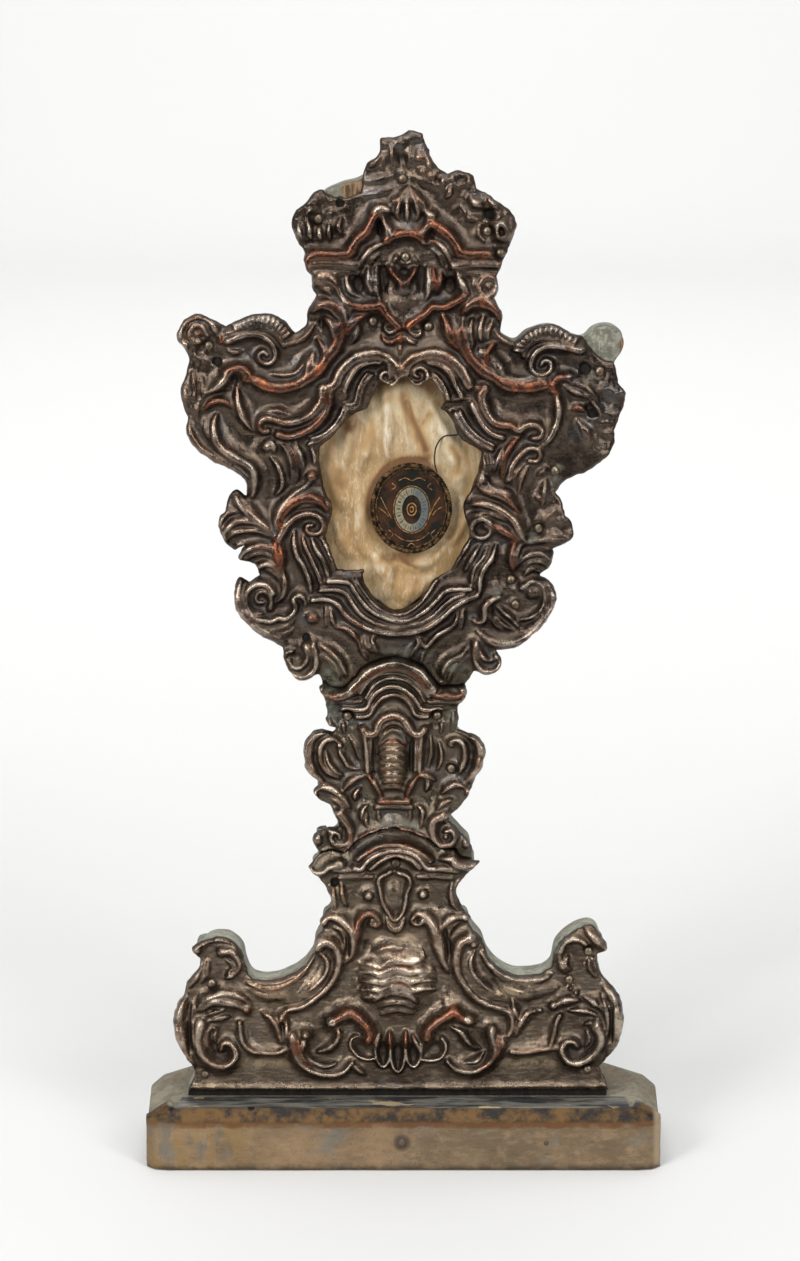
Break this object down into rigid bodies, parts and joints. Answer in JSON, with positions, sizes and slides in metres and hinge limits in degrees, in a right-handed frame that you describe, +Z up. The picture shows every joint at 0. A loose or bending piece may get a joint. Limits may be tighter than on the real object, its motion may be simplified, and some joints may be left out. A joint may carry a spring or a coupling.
{
  "type": "reliquary",
  "caption": "Standing altar reliquary: embossed silvered copper on a wooden board and plinth, with a cusped window over padded silk and an oval relic case.",
  "frame": {"origin": "middle of the plinth's underside, the bottom centre of the bounding box", "axes": "+Z up, +X to the viewer's right, +Y away from the viewer, who faces the window"},
  "size_m": [0.2008, 0.0656, 0.4013],
  "materials": {
    "painted_wood": "old grey-green paint, worn and dusty, over brown wood",
    "facing_metal": "thin metal with a dull tan-brown patina, rust along its upper edge",
    "silvered_copper": "embossed copper, its silvering tarnished nearly black, copper and silver showing on the crests",
    "silk": "cream silk with golden-brown stains and soft creases",
    "dark_braid": "dark brown wound thread and cloth",
    "paper": "aged cream and blue-grey paper with short dark strokes",
    "gilding": "dull gilded rim round a dark centre",
    "brass_nail": "tarnished domed nail heads",
    "iron": "corroded dark iron",
    "thread": "fine dark thread"
  },
  "bodies": {
    "root": {"plinth": "painted_wood", "plinth_facing": "facing_metal", "plinth_nail": "iron", "plinth_pin": "iron", "board": "painted_wood", "head_sheet": "silvered_copper", "stem_sheet": "silvered_copper", "foot_sheet": "silvered_copper", "relic_lining": "silk", "relic_case": "dark_braid", "relic_label": "paper", "relic_capsule": "gilding", "relic_thread": "thread", "nail_01": "brass_nail", "nail_02": "brass_nail", "nail_03": "brass_nail", "nail_04": "brass_nail", "nail_05": "brass_nail", "nail_06": "brass_nail", "nail_07": "brass_nail", "nail_08": "brass_nail", "nail_09": "brass_nail", "nail_10": "brass_nail", "nail_11": "brass_nail", "nail_12": "brass_nail", "nail_13": "brass_nail", "nail_14": "brass_nail", "nail_15": "brass_nail", "nail_16": "brass_nail", "nail_17": "brass_nail", "nail_18": "brass_nail", "nail_19": "brass_nail", "nail_20": "brass_nail", "nail_21": "brass_nail", "nail_22": "brass_nail"}
  },
  "joints": []
}
